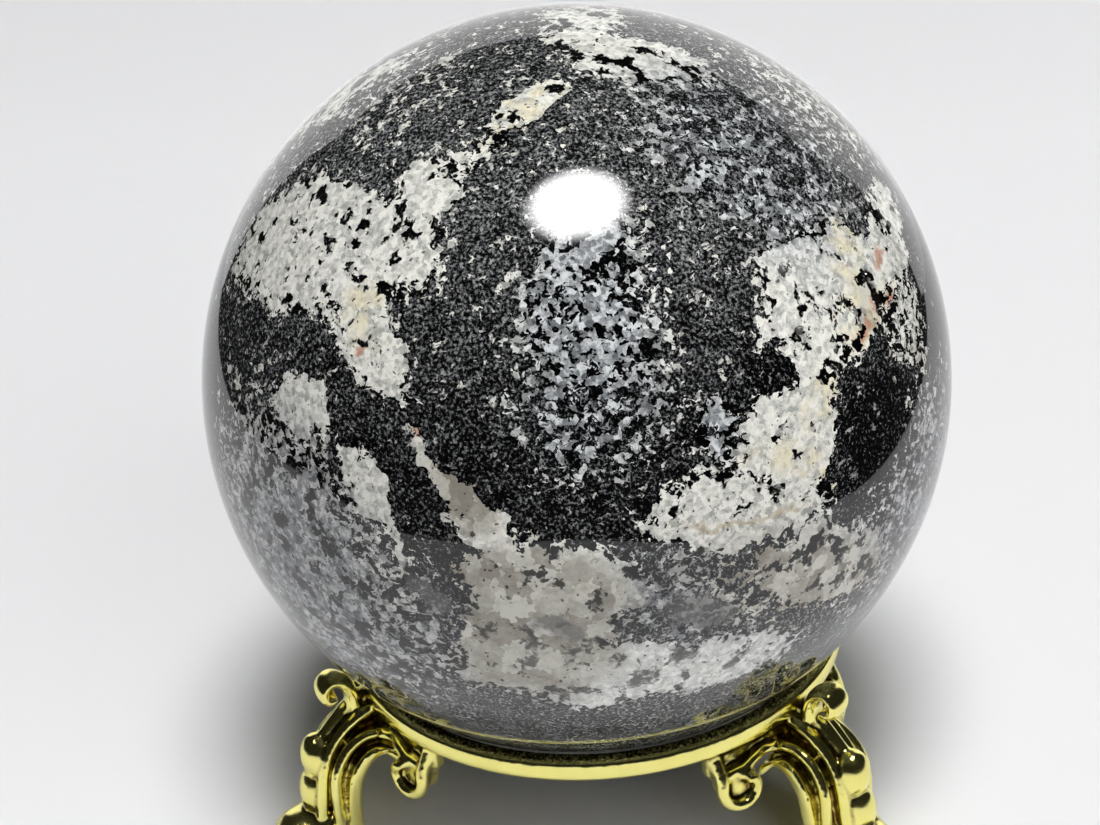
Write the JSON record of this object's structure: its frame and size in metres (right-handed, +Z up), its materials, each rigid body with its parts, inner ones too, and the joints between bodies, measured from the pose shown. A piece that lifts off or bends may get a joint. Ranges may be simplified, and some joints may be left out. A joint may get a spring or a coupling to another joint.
{
  "type": "decorative sphere",
  "caption": "Polished speckled stone ball resting on a gold-plated cast stand, a ring on scrolled leaf legs with turned-out feet.",
  "frame": {"origin": "on the floor, on the vertical axis of the ring and the ball", "axes": "+Z up; -Y is the front, midway between two of the legs, so the third leg stands at +Y"},
  "size_m": [0.08, 0.08, 0.0885],
  "materials": {
    "polished_stone": "mirror polished",
    "gold_plate": "bright gold plating over a cast surface"
  },
  "bodies": {
    "root": {"stone_sphere": "polished_stone", "stand": "gold_plate"}
  },
  "joints": []
}
